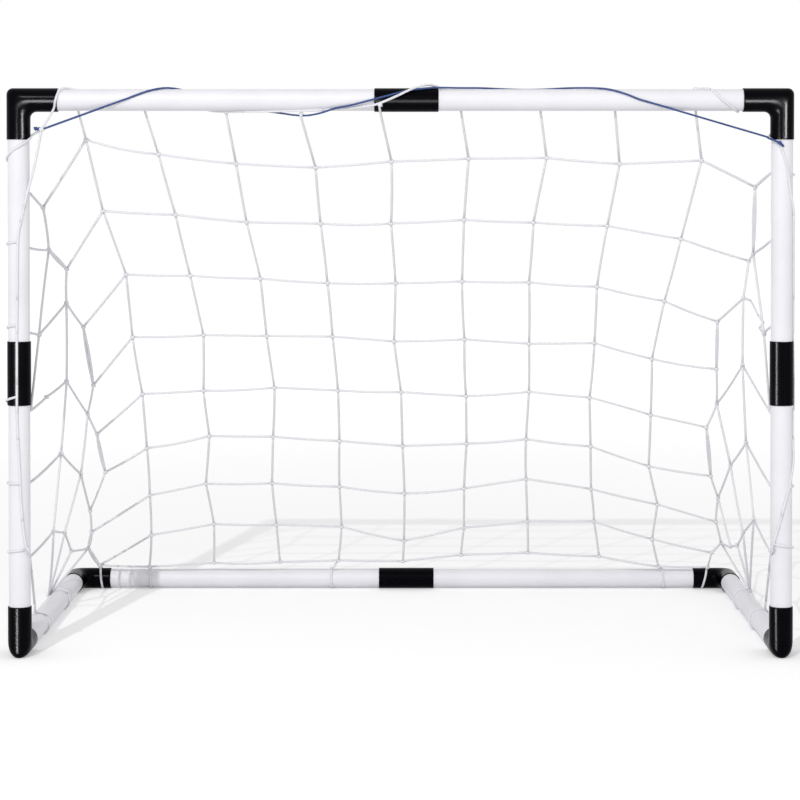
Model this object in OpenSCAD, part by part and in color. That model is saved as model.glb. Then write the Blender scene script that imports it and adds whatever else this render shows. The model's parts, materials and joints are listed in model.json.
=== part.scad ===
// Knock-down toy football goal: white tubes pushed into black corner and straight connectors,
// with a square-mesh net laced to the crossbar and looped round the other tubes.
// The origin is on the floor under the middle of the goal, +Z is up and the mouth faces -Y.

/* [Frame] */
// Width over the corner connectors
goal_w = 780; // [680:5:1000]
// Depth over the corner connectors
goal_d = 450; // [420:5:600]
// Height to the top of the upper corner connectors
goal_h = 565; // [520:5:700]

/* [Tubes] */
// Outer diameter of the tubes
tube_d = 21.5; // [18:0.5:25]
// Wall of the tubes
tube_wall = 1.2; // [0.8:0.1:2]

/* [Connectors] */
// Wall round each socket
socket_wall = 1; // [0.8:0.1:2]
// Gap between a tube and its socket, on the radius
socket_gap = 0.05; // [0.02:0.01:0.1]
// Depth of each socket in an elbow
elbow_depth = 26; // [18:0.5:32]
// Room in an elbow between a tube's end and the side of the other tube
corner_room = 2.45; // [1.5:0.05:6]
// Radius of an elbow's outer corner
elbow_round = 8; // [4:0.5:10]
// Radius of the fillet in an elbow's inner corner
elbow_fillet = 5; // [3:0.5:8]
// Width of the web that carries that fillet
web_w = 6; // [4:0.5:8]
// Depth of each socket in a coupler
coupler_depth = 30.5; // [20:0.5:36]
// Rib between the two sockets of a coupler
coupler_rib = 2.5; // [1.5:0.5:5]
// Width of the ledge that a tube's end stops against
ledge_w = 1.8; // [1.4:0.1:3]
// Bevel at the mouth of a socket
mouth_bevel = 0.5; // [0.2:0.1:0.7]
// Depth of the flat under the connectors that stand on the floor
foot_flat = 0.25; // [0.1:0.05:0.6]
// Place of the crossbar's coupler, right of the middle
crossbar_coupler_x = 6; // [-20:1:20]
// Place of the rear bar's coupler, right of the middle
rear_coupler_x = 5; // [-20:1:20]

/* [Net] */
// Thickness of the twine
twine_d = 1.8; // [1.2:0.1:2.4]
// Gap between pieces of cord, and between cord and frame
cord_gap = 0.3; // [0.3:0.05:0.6]
// Meshes across the back
back_meshes = 10; // [8:1:12]
// Meshes down the back
back_rows = 9; // [7:1:11]
// How far the net's head is shifted to the right
head_shift = -18; // [-25:1:25]
// How far each fold between back and side is drawn in at mid height
fold_pull = 30; // [10:1:45]
// How far the foot of each fold stands in from the frame's side
fold_foot_in = 26; // [18:1:34]
// How much lower a row is at the left fold, in meshes
left_drop = 0.75; // [0:0.05:0.8]
// How much lower a row is at the right fold, in meshes
right_drop = 0.25; // [0:0.05:0.8]
// How much the meshes tighten towards the foot of the back
foot_tighten = 0.16; // [0:0.01:0.25]
// Height of the slack arcs along the foot of the back
foot_arc = 20; // [5:1:30]
// Net loops on each upper post tube, and as many on each lower one
post_loops = 3; // [2:1:3]
// Distance between net loops on a post
loop_pitch = 74; // [60:1:76]
// Distance from a post coupler to the nearest net loop
loop_offset = 8; // [3:0.5:12]
// Place of the spot on each side tube where the side net is gathered, behind the middle
gather_y = 65; // [20:1:100]
// Distance between strands where they are gathered
gather_pitch = 3.2; // [2.8:0.1:4]
// Distance between the edge strands of back and side along a fold
seam_w = 4.5; // [4:0.1:7]

/* [Lacing] */
// Thickness of the lacing cord
lacing_d = 2.5; // [2:0.1:3]
// Gap between the lacing and the crossbar's connectors
lacing_gap = 0.6; // [0.5:0.05:1]
// Distance from one turn of the lacing's end loop to the next
lacing_pitch = 3.4; // [3.4:0.1:4]
// How far below the crossbar's axis the lacing starts
lacing_start_drop = 28; // [24:1:36]
// Gap between the mouth of the upper right elbow and the lacing's end loop
lacing_end_gap = 4.75; // [2:0.25:8]

/* [Hidden] */
$fn = 48;

tube_white = [0.94, 0.94, 0.96];
connector_black = [0.04, 0.04, 0.05];
twine_white = [0.97, 0.97, 0.98];
lacing_blue = [0.22, 0.36, 0.68];

// Radii of the frame, and the reach of an elbow's arm from where its axes cross
tube_r = tube_d / 2;
socket_r = tube_r + socket_gap;
connector_r = socket_r + socket_wall;
passage_r = socket_r - ledge_w;
stop_at = tube_r + corner_room;
elbow_reach = stop_at + elbow_depth;
coupler_len = 2 * coupler_depth + coupler_rib;
overcut = 1;

// Axes of the frame
post_x = goal_w / 2 - connector_r;
front_y = connector_r - goal_d / 2;
rear_y = goal_d / 2 - connector_r;
base_z = connector_r - foot_flat;
top_z = goal_h - connector_r;
post_mid_z = (base_z + top_z) / 2;

// Loops of twine round a tube or a connector, from the axis to the twine's middle
twine_r = twine_d / 2;
tube_loop_r = tube_r + cord_gap + twine_r;
connector_loop_r = connector_r + cord_gap + twine_r;

// The lacing winds outside the head rope, and the net's top row hangs below both
lacing_r = lacing_d / 2;
lacing_wind_r = connector_r + lacing_gap + lacing_r;
head_rope_angle = 170;
rope_lift = connector_loop_r + twine_r + cord_gap + lacing_r - lacing_wind_r;

// The back lies on the slope between the crossbar's axis and the rear bar's axis
slope_len = norm([rear_y - front_y, top_z - base_z]);
slope_dir = [0, rear_y - front_y, base_z - top_z] / slope_len;
head_s = (lacing_wind_r + rope_lift + lacing_r + cord_gap + twine_r) / slope_len;
tie_s = 1 - (connector_loop_r + twine_r + cord_gap + twine_r) / slope_len;
fold_head_in = connector_r + cord_gap + twine_d;
foot_ties = [0, 1, 4, back_meshes - 1, back_meshes];

function on_slope(x, s) = [x, front_y, top_z] + s * slope_len * slope_dir;

// Distance of a fold from the middle of the goal, at s down the slope
function fold_x(s) =
    post_x - fold_head_in * (1 - s) - fold_foot_in * s * s - fold_pull * sin(180 * s);

// Column i of the back as a share from -1 at the left fold to 1 at the right one
function across(i) = 2 * i / back_meshes - 1;
function drop(u) = (u < 0 ? left_drop : right_drop) * pow(u, 8);
function is_tie(i) = len([for (t = foot_ties) if (t == i) t]) > 0;

// Row j in column i as a share of the slope: the foot is down at its ties and arched between them
arc_s = tie_s - foot_arc / slope_len;
function tightened(t) = t + foot_tighten * t * (1 - t);
function row_s(i, j) =
    j == 0 ? head_s :
    j == back_rows ? (is_tie(i) ? tie_s : arc_s) :
    head_s + (arc_s - head_s) * tightened((j + drop(across(i))) / back_rows);

function back_x(u, s) =
    abs(u) == 1 ? u * fold_x(s) :
    u * post_x - pow(u, 3) * (fold_pull + fold_foot_in * s) * sin(180 * min(s, 0.85)) +
    head_shift * (1 - s) * (1 - pow(u, 6));
function back_knot(i, j) = let (s = row_s(i, j)) on_slope(back_x(across(i), s), s);

// Net loops on a post, counted from the top
side_rows = 2 * post_loops;
function loop_z(k) =
    k <= post_loops
    ? post_mid_z + coupler_len / 2 + loop_offset + (post_loops - k) * loop_pitch
    : post_mid_z - coupler_len / 2 - loop_offset - (k - post_loops - 1) * loop_pitch;

// A side hangs between its post and its fold. Its rows go on from the rows of the back, with as
// many meshes as fit, and its columns run beside the fold: q counts them from there to the post.
// Below the last row the strands run to the gathering on the side tube.
mesh_w = 2 * post_x / back_meshes;
edge_y = front_y + tube_loop_r + twine_r + cord_gap + twine_r;
gather_z = base_z + tube_loop_r + twine_r + cord_gap + twine_r;
function side_fold(side, k) =
    back_knot(side < 0 ? 0 : back_meshes, k) + [side * seam_w, 0, 0];
function side_post(side, k) = [side * post_x, edge_y, loop_z(k)];
function fitting(side, k) = max(1, round(norm(side_fold(side, k) - side_post(side, k)) / mesh_w));
function side_meshes(side, k) = max([for (n = [1 : k]) fitting(side, n)]);
function side_knot(side, k, q) =
    let (fold = side_fold(side, k))
    fold + (side_post(side, k) - fold) * q / side_meshes(side, k);
function gathered(side) = side_meshes(side, side_rows) - 1;
function gather_knot(side, q) =
    [side * post_x, gather_y + ((gathered(side) + 1) / 2 - q) * gather_pitch, gather_z];

// A net is one closed solid: a small block at each knot, joined by square strands from block to
// block. Its rows run along e1 and its columns along e2.
function block(knots, e1, e2) =
    let (e3 = cross(e1, e2))
    [
        for (p = knots, a = [-1, 1], b = [-1, 1], c = [-1, 1])
            p + twine_r * (a * e1 + b * e2 + c * e3)
    ];
function quad(p, q, r, s) = [[p, q, r], [p, r, s]];
function strand(a, b, from, to) =
    [
        for (n = [0 : 3])
            let (m = (n + 1) % 4)
            each quad(8 * a + from[n], 8 * a + from[m], 8 * b + to[m], 8 * b + to[n])
    ];
function is_free(n, strands, end) = len([for (s = strands) if (s[end] == n) s]) == 0;
function cap(n, f) = quad(8 * n + f[0], 8 * n + f[1], 8 * n + f[2], 8 * n + f[3]);
function net_faces(count, rows, columns) =
    [
        for (n = [0 : count - 1])
            each concat(
                cap(n, [1, 3, 7, 5]),
                cap(n, [0, 4, 6, 2]),
                is_free(n, rows, 0) ? cap(n, [4, 5, 7, 6]) : [],
                is_free(n, rows, 1) ? cap(n, [0, 2, 3, 1]) : [],
                is_free(n, columns, 0) ? cap(n, [2, 6, 7, 3]) : [],
                is_free(n, columns, 1) ? cap(n, [0, 1, 5, 4]) : []
            ),
        for (s = rows) each strand(s[0], s[1], [4, 5, 7, 6], [0, 1, 3, 2]),
        for (s = columns) each strand(s[0], s[1], [2, 6, 7, 3], [0, 4, 5, 1])
    ];

module net(knots, rows, columns, e1, e2) {
    polyhedron(block(knots, e1, e2), net_faces(len(knots), rows, columns), convexity = 10);
}

module tube(length) {
    difference() {
        cylinder(r = tube_r, h = length);
        translate([0, 0, -overcut])
            cylinder(r = tube_r - tube_wall, h = length + 2 * overcut);
    }
}

// A socket along +Z, from its ledge at 0 to its bevelled mouth
module socket(depth) {
    cylinder(r = socket_r, h = depth + overcut);
    translate([0, 0, depth - mouth_bevel])
        cylinder(r1 = socket_r, r2 = socket_r + mouth_bevel, h = mouth_bevel);
}

module coupler() {
    difference() {
        translate([0, 0, -coupler_len / 2])
            cylinder(r = connector_r, h = coupler_len);
        translate([0, 0, -coupler_len / 2])
            cylinder(r = passage_r, h = coupler_len);
        for (turn = [0, 180])
            rotate([turn, 0, 0])
                translate([0, 0, coupler_rib / 2])
                    socket(coupler_depth);
    }
}

// An arm along +X that ends on the mitre plane between +X and +Z
module mitred_arm(r, reach) {
    size = 2 * reach;
    intersection() {
        translate([-reach, 0, 0])
            rotate([0, 90, 0])
                cylinder(r = r, h = 2 * reach);
        rotate([90, 0, 0])
            linear_extrude(height = 2 * size, center = true)
                polygon([[-size, -size], [size, size], [size, -size]]);
    }
}

module both_arms() {
    children();
    mirror([1, 0, -1])
        children();
}

// An elbow with its arms along +X and +Z, from the crossing of their axes
module elbow() {
    corner = elbow_round - connector_r;
    inner = connector_r - socket_wall / 2;
    outer = connector_r + elbow_fillet;
    difference() {
        union() {
            both_arms()
                mitred_arm(connector_r, elbow_reach);
            rotate([90, 0, 0])
                linear_extrude(height = web_w, center = true)
                    difference() {
                        translate([inner, inner])
                            square(outer - inner);
                        translate([outer, outer])
                            circle(r = elbow_fillet);
                    }
        }
        rotate([90, 0, 0])
            linear_extrude(height = 2 * goal_w, center = true)
                difference() {
                    translate([-connector_r - overcut, -connector_r - overcut])
                        square(elbow_round + overcut);
                    translate([corner, corner])
                        circle(r = elbow_round);
                }
        both_arms()
            mitred_arm(passage_r, stop_at + overcut);
        both_arms()
            translate([stop_at, 0, 0])
                rotate([0, 90, 0])
                    socket(elbow_depth);
    }
}

// What stands on the floor is cut off level with it
module on_floor() {
    difference() {
        children();
        translate([-goal_w, -goal_d, -goal_h])
            cube([2 * goal_w, 2 * goal_d, goal_h]);
    }
}

module along_x(x, y, z) {
    translate([x, y, z])
        rotate([0, 90, 0])
            children();
}

module along_y(x, y, z) {
    translate([x, y, z])
        rotate([-90, 0, 0])
            children();
}

// The two tubes of a bar along X, on either side of its coupler
bar_end = post_x - stop_at;
module bar_left_tube(coupler_x, y, z) {
    color(tube_white)
        along_x(-bar_end, y, z)
            tube(bar_end + coupler_x - coupler_rib / 2);
}

module bar_right_tube(coupler_x, y, z) {
    color(tube_white)
        along_x(coupler_x + coupler_rib / 2, y, z)
            tube(bar_end - coupler_x - coupler_rib / 2);
}

module crossbar_left_tube() bar_left_tube(crossbar_coupler_x, front_y, top_z);

module crossbar_right_tube() bar_right_tube(crossbar_coupler_x, front_y, top_z);

module crossbar_coupler() {
    color(connector_black)
        along_x(crossbar_coupler_x, front_y, top_z)
            coupler();
}

module top_elbow(side) {
    color(connector_black)
        translate([side * post_x, front_y, top_z])
            rotate(side < 0 ? [180, 0, 0] : [0, 180, 0])
                elbow();
}

module top_left_elbow() top_elbow(-1);

module top_right_elbow() top_elbow(1);

// Each post is a lower and an upper tube of one length, with a coupler between them
post_tube_len = post_mid_z - coupler_rib / 2 - base_z - stop_at;
module post_tube(side, z) {
    color(tube_white)
        translate([side * post_x, front_y, z])
            tube(post_tube_len);
}

module post_coupler(side) {
    color(connector_black)
        translate([side * post_x, front_y, post_mid_z])
            coupler();
}

module left_post_upper_tube() post_tube(-1, post_mid_z + coupler_rib / 2);

module left_post_lower_tube() post_tube(-1, base_z + stop_at);

module left_post_coupler() post_coupler(-1);

module right_post_upper_tube() post_tube(1, post_mid_z + coupler_rib / 2);

module right_post_lower_tube() post_tube(1, base_z + stop_at);

module right_post_coupler() post_coupler(1);

module foot_elbow(side) {
    color(connector_black)
        on_floor()
            translate([side * post_x, front_y, base_z])
                rotate([0, 0, 90])
                    elbow();
}

module front_left_foot_elbow() foot_elbow(-1);

module front_right_foot_elbow() foot_elbow(1);

module side_tube(side) {
    color(tube_white)
        along_y(side * post_x, front_y + stop_at, base_z)
            tube(rear_y - front_y - 2 * stop_at);
}

module left_side_tube() side_tube(-1);

module right_side_tube() side_tube(1);

module rear_elbow(side) {
    color(connector_black)
        on_floor()
            translate([side * post_x, rear_y, base_z])
                rotate([0, side < 0 ? 0 : 180, 0])
                    rotate([90, 0, 0])
                        elbow();
}

module rear_left_elbow() rear_elbow(-1);

module rear_right_elbow() rear_elbow(1);

module rear_bar_left_tube() bar_left_tube(rear_coupler_x, rear_y, base_z);

module rear_bar_right_tube() bar_right_tube(rear_coupler_x, rear_y, base_z);

module rear_bar_coupler() {
    color(connector_black)
        on_floor()
            along_x(rear_coupler_x, rear_y, base_z)
                coupler();
}

// The back, as columns of knots from the left fold to the right one
module net_back() {
    step = back_rows + 1;
    color(twine_white)
        net(
            [for (i = [0 : back_meshes], j = [0 : back_rows]) back_knot(i, j)],
            [for (i = [0 : back_meshes - 1], j = [0 : back_rows]) [i * step + j, (i + 1) * step + j]],
            [for (i = [0 : back_meshes], j = [0 : back_rows - 1]) [i * step + j, i * step + j + 1]],
            [1, 0, 0],
            slope_dir
        );
}

// A side's knots are numbered row by row, then down the rest of the fold, then at the gathering
function before_row(side, k) = k == 1 ? 0 : before_row(side, k - 1) + side_meshes(side, k - 1) + 1;
module net_side(side) {
    fold_end = back_rows - 1;
    last = side_meshes(side, side_rows);
    first_single = before_row(side, side_rows + 1);
    first_gathered = first_single + fold_end - side_rows;
    function at(k, q) =
        k <= side_rows ? before_row(side, k) + q : first_single + k - side_rows - 1;
    knots = [
        for (k = [1 : side_rows], q = [0 : side_meshes(side, k)]) side_knot(side, k, q),
        for (k = [side_rows + 1 : fold_end]) side_fold(side, k),
        for (q = [1 : last - 1]) gather_knot(side, q)
    ];
    rows = [
        for (k = [1 : side_rows], q = [1 : side_meshes(side, k)]) [at(k, q), at(k, q - 1)],
        for (q = [2 : 1 : last - 1]) [first_gathered + q - 1, first_gathered + q - 2]
    ];
    columns = [
        for (k = [1 : side_rows - 1], q = [0 : side_meshes(side, k)]) [at(k, q), at(k + 1, q)],
        for (k = [side_rows : fold_end - 1]) [at(k, 0), at(k + 1, 0)],
        for (q = [1 : last - 1]) [at(side_rows, q), first_gathered + q - 1]
    ];
    color(twine_white)
        net(knots, rows, columns, [0, 1, 0], [0, 0, -1]);
}

module net_left() net_side(-1);

module net_right() net_side(1);

// The rope along the net's head lies behind the crossbar, inside the lacing
module net_head_rope() {
    length = 2 * (post_x - connector_r);
    color(twine_white)
        along_x(
            -length / 2,
            front_y - connector_loop_r * cos(head_rope_angle),
            top_z + connector_loop_r * sin(head_rope_angle)
        )
            cylinder(r = twine_r, h = length);
}

// A loop of twine round the Z axis
module loop(r) {
    rotate_extrude()
        translate([r, 0])
            circle(r = twine_r);
}

module post_net_loops(side) {
    color(twine_white)
        for (k = [1 : side_rows])
            translate([side * post_x, front_y, loop_z(k)])
                loop(tube_loop_r);
}

module left_post_net_loops() post_net_loops(-1);

module right_post_net_loops() post_net_loops(1);

// The loops that hold the net's foot, at the folds on the elbows and elsewhere on the tubes
module rear_bar_net_loops() {
    color(twine_white)
        on_floor()
            for (i = foot_ties)
                along_x(back_knot(i, back_rows)[0], rear_y, base_z)
                    loop(abs(across(i)) == 1 ? connector_loop_r : tube_loop_r);
}

module side_net_loops(side) {
    color(twine_white)
        on_floor()
            for (q = [1 : gathered(side)])
                along_y(side * post_x, gather_knot(side, q)[1], base_z)
                    loop(tube_loop_r);
}

module left_side_net_loops() side_net_loops(-1);

module right_side_net_loops() side_net_loops(1);

// The lacing's way along the crossbar: place along it, angle round it from the front over the
// top, and whether it passes over the head rope there
lacing_turns = [
    [-298, -60, 0], [-276, -15, 0], [-253, 35, 0], [-230, 85, 0], [-212, 130, 1], [-195, 175, 1],
    [-180, 220, 1], [-163, 260, 0], [-130, 280, 0], [-99, 300, 0], [-60, 340, 0], [-20, 385, 0],
    [15, 425, 0], [35, 445, 0], [60, 460, 0], [89, 468, 0], [125, 480, 0], [163, 468, 0],
    [208, 440, 0], [235, 395, 0], [258, 350, 0], [279, 310, 0]
];
// Where it starts below the left corner, and where it comes to the right post
lacing_start_z = top_z - lacing_start_drop;
lacing_end_z = top_z - elbow_reach - lacing_end_gap - lacing_r;
// Angle of the end loop at the post's front left, and how far it goes round from there
end_loop_from = 130;
end_loop_turn = 420;
end_loop_steps = 18;
// Middle points between two of the chosen ones
lacing_steps = 2;
lacing_sides = 8;

function round_bar(p) =
    let (r = lacing_wind_r + p[2] * rope_lift)
    [p[0], front_y - r * cos(p[1]), top_z + r * sin(p[1])];
end_loop_r = tube_r + lacing_gap + lacing_r;
function round_post(t) =
    let (angle = end_loop_from - end_loop_turn * t)
    [
        post_x + end_loop_r * cos(angle),
        front_y - end_loop_r * sin(angle),
        lacing_end_z - lacing_pitch * end_loop_turn / 360 * t
    ];
lacing_route = [
    [-post_x + connector_r + cord_gap + lacing_r, front_y, lacing_start_z],
    for (n = [0 : len(lacing_turns) - 2], t = [0 : lacing_steps - 1])
        round_bar(lacing_turns[n] + (lacing_turns[n + 1] - lacing_turns[n]) * t / lacing_steps),
    round_bar(lacing_turns[len(lacing_turns) - 1]),
    for (n = [0 : end_loop_steps]) round_post(n / end_loop_steps)
];

// A round cord along a route, as one tube whose rings are carried along without twist
function unit(v) = v / norm(v);
function ahead(route, n) = unit(route[min(n + 1, len(route) - 1)] - route[max(n - 1, 0)]);
function square_to(v, t) = unit(v - (v * t) * t);
function carried(route) =
    [
        for (
            n = 0, side = square_to([0, 1, 0], ahead(route, 0));
            n < len(route);
            n = n + 1, side = n < len(route) ? square_to(side, ahead(route, n)) : side
        )
            side
    ];
function ring(p, t, side, r, sides) =
    [
        for (k = [0 : sides - 1])
            let (angle = 360 * k / sides)
            p + r * (cos(angle) * side + sin(angle) * cross(t, side))
    ];

module cord(route, r, sides) {
    last = len(route) - 1;
    around = carried(route);
    points = [for (n = [0 : last]) each ring(route[n], ahead(route, n), around[n], r, sides)];
    walls = [
        for (n = [0 : last - 1], k = [0 : sides - 1])
            let (a = n * sides + k, b = n * sides + (k + 1) % sides)
            each quad(a, a + sides, b + sides, b)
    ];
    ends = [
        for (k = [1 : sides - 2])
            each [[0, k, k + 1], [last * sides, last * sides + k + 1, last * sides + k]]
    ];
    polyhedron(points, concat(walls, ends), convexity = 10);
}

// Least distance between stretches of the lacing that are more than half a turn apart
lacing_apart = 10;
lacing_least_gap = min([
    for (a = [0 : len(lacing_route) - 1 - lacing_apart])
        for (b = [a + lacing_apart : len(lacing_route) - 1])
            norm(lacing_route[a] - lacing_route[b])
]) - lacing_d;
echo(lacing_least_gap = lacing_least_gap);

module lacing_cord() {
    color(lacing_blue)
        cord(lacing_route, lacing_r, lacing_sides);
}

crossbar_left_tube();
crossbar_right_tube();
crossbar_coupler();
top_left_elbow();
top_right_elbow();
left_post_upper_tube();
left_post_lower_tube();
left_post_coupler();
right_post_upper_tube();
right_post_lower_tube();
right_post_coupler();
front_left_foot_elbow();
front_right_foot_elbow();
left_side_tube();
right_side_tube();
rear_left_elbow();
rear_right_elbow();
rear_bar_left_tube();
rear_bar_right_tube();
rear_bar_coupler();
net_back();
net_left();
net_right();
net_head_rope();
left_post_net_loops();
right_post_net_loops();
rear_bar_net_loops();
left_side_net_loops();
right_side_net_loops();
lacing_cord();
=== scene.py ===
import json
import math

import bmesh
import bpy
import numpy as np
from mathutils import Matrix, Vector


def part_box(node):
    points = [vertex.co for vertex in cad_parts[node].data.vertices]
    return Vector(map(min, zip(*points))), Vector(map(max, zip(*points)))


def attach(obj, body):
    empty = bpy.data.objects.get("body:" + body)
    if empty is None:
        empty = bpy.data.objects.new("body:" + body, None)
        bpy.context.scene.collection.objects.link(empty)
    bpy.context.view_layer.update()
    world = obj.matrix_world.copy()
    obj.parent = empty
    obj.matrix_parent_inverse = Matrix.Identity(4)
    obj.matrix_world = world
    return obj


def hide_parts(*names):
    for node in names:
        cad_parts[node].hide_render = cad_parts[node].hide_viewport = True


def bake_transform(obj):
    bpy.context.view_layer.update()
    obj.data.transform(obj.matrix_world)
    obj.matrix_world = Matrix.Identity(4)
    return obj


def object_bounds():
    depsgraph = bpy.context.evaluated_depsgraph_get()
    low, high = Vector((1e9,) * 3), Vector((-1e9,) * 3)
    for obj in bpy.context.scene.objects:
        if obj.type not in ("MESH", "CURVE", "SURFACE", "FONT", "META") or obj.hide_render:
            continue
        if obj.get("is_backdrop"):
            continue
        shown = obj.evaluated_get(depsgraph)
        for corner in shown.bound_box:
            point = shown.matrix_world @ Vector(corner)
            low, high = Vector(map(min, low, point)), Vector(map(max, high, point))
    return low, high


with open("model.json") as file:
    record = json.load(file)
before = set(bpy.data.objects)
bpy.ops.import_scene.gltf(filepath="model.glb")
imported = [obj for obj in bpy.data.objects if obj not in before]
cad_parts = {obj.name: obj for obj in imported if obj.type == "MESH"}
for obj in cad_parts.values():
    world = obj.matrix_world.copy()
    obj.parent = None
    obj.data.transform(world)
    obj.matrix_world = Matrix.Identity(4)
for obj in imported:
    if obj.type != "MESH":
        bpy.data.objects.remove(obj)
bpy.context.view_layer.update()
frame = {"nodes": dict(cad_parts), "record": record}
scene = bpy.context.scene
print("goal frame loaded")

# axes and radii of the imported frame
couplerLow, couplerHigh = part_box("crossbar_coupler")
postLow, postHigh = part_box("right_post_lower_tube")
rearLow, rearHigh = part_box("rear_bar_left_tube")
connectorR = (couplerHigh.z - couplerLow.z) / 2
tubeR = (postHigh.x - postLow.x) / 2
postX = (postHigh.x + postLow.x) / 2
frontY = (couplerHigh.y + couplerLow.y) / 2
topZ = (couplerHigh.z + couplerLow.z) / 2
rearY = (rearHigh.y + rearLow.y) / 2
baseZ = (rearHigh.z + rearLow.z) / 2

# the camera's place, and where a spot of its picture lies in the scene
view = {
    "pixels": 800,
    "sensor": 36,
    "place": Vector((0.0105, -2.663, 0.4648)),
    "tilt": 1.0,
    "lens": 111.23,
    "shiftX": -0.0137,
    "shiftY": -0.2094,
}


def lineOfSight(u, v):
    pixels = view["pixels"]
    tilt, focal = math.radians(view["tilt"]), view["lens"] / view["sensor"] * pixels
    ahead = Vector((0, math.cos(tilt), -math.sin(tilt)))
    up = Vector((0, math.sin(tilt), math.cos(tilt)))
    across = (u - pixels / 2 + pixels * view["shiftX"]) / focal
    rise = (pixels / 2 + pixels * view["shiftY"] - v) / focal
    return ahead + Vector((across, 0, 0)) + up * rise


def seenAt(u, v, y):
    sight = lineOfSight(u, v)
    return view["place"] + sight * ((y - view["place"].y) / sight.y)


def heightSeen(v, y):
    return seenAt(view["pixels"] / 2, v, y).z


slopeSag = 0.008


# the sloping back sags a little between the crossbar and the rear bar
def seenOnSlope(u, v):
    sight = lineOfSight(u, v)
    outward = Vector((0, topZ - baseZ, rearY - frontY)).normalized()
    start = Vector((0, frontY, topZ)) - view["place"]
    flat = view["place"] + sight * (start.dot(outward) / sight.dot(outward))
    share = (topZ - flat.z) / (topZ - baseZ)
    sunk = start - outward * slopeSag * 4 * share * (1 - share)
    return view["place"] + sight * (sunk.dot(outward) / sight.dot(outward))


def newFinish(name):
    finish = bpy.data.materials.new(name)
    finish.use_nodes = True
    tree = finish.node_tree
    return finish, tree.nodes, tree.links, tree.nodes["Principled BSDF"]


def noiseOn(nodes, links, coords, scale, detail, stretch=(1, 1, 1)):
    mapping = nodes.new("ShaderNodeMapping")
    mapping.inputs["Scale"].default_value = stretch
    links.new(coords, mapping.inputs["Vector"])
    noise = nodes.new("ShaderNodeTexNoise")
    noise.inputs["Scale"].default_value = scale
    noise.inputs["Detail"].default_value = detail
    links.new(mapping.outputs["Vector"], noise.inputs["Vector"])
    return noise.outputs["Fac"]


def rampOn(nodes, links, value, stops):
    ramp = nodes.new("ShaderNodeValToRGB")
    ramp.color_ramp.elements[0].position, ramp.color_ramp.elements[0].color = stops[0]
    ramp.color_ramp.elements[1].position, ramp.color_ramp.elements[1].color = stops[-1]
    for place, colour in stops[1:-1]:
        ramp.color_ramp.elements.new(place).color = colour
    links.new(value, ramp.inputs["Fac"])
    return ramp.outputs["Color"]


def rangeOn(nodes, links, value, low, high):
    spread = nodes.new("ShaderNodeMapRange")
    spread.inputs["To Min"].default_value = low
    spread.inputs["To Max"].default_value = high
    links.new(value, spread.inputs["Value"])
    return spread.outputs["Result"]


def bumpOn(nodes, links, shader, height, strength, distance):
    bump = nodes.new("ShaderNodeBump")
    bump.inputs["Strength"].default_value = strength
    bump.inputs["Distance"].default_value = distance
    links.new(height, bump.inputs["Height"])
    links.new(bump.outputs["Normal"], shader.inputs["Normal"])


tubeFinish = {
    "clean": (0.81, 0.805, 0.845, 1),
    "dull": (0.76, 0.755, 0.8, 1),
    "gloss": (0.38, 0.52),
    "drawLines": 440.0,
    "drawnOut": 0.03,  # scale of the lines along the tube
    "clouds": 14.0,
    "cloudEdge": (0.3, 0.55),
    "bump": (0.08, 0.0004),
}


# extruded white plastic: faint draw lines along the tube, and a little handling dirt
def makeTubeFinish(name, along):
    finish, nodes, links, shader = newFinish(name)
    coords = nodes.new("ShaderNodeTexCoord").outputs["Object"]
    stretch = [1.0, 1.0, 1.0]
    stretch["xyz".index(along)] = tubeFinish["drawnOut"]
    drawn = noiseOn(nodes, links, coords, tubeFinish["drawLines"], 2.0, stretch)
    cloudy = noiseOn(nodes, links, coords, tubeFinish["clouds"], 4.0)
    stops = list(zip(tubeFinish["cloudEdge"], (tubeFinish["dull"], tubeFinish["clean"])))
    links.new(rampOn(nodes, links, cloudy, stops), shader.inputs["Base Color"])
    links.new(rangeOn(nodes, links, drawn, *tubeFinish["gloss"]), shader.inputs["Roughness"])
    bumpOn(nodes, links, shader, drawn, *tubeFinish["bump"])
    return finish


connectorFinish = {
    "black": (0.0006, 0.0006, 0.0018, 1),
    "worn": (0.0015, 0.0015, 0.003, 1),
    "gloss": (0.2, 0.26),
    "specular": 0.035,
    "grain": 900.0,
    "clouds": 45.0,
    "cloudEdge": (0.45, 0.75),
    "bump": (0.06, 0.0003),
}


# moulded gloss black: a fine eggshell grain, and slightly greyer where it is handled
def makeConnectorFinish(name):
    finish, nodes, links, shader = newFinish(name)
    coords = nodes.new("ShaderNodeTexCoord").outputs["Object"]
    grain = noiseOn(nodes, links, coords, connectorFinish["grain"], 2.0)
    cloudy = noiseOn(nodes, links, coords, connectorFinish["clouds"], 5.0)
    colours = (connectorFinish["black"], connectorFinish["worn"])
    stops = list(zip(connectorFinish["cloudEdge"], colours))
    links.new(rampOn(nodes, links, cloudy, stops), shader.inputs["Base Color"])
    links.new(rangeOn(nodes, links, cloudy, *connectorFinish["gloss"]), shader.inputs["Roughness"])
    shader.inputs["Specular IOR Level"].default_value = connectorFinish["specular"]
    bumpOn(nodes, links, shader, grain, *connectorFinish["bump"])
    return finish


cordFinish = {
    "fuzz": 1400.0,
    "fuzzShare": 0.3,
    "ridgeEdge": (0.1, 0.6),
    "specular": 0.25,
    "bump": (0.3, 0.0002),
}


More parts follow.
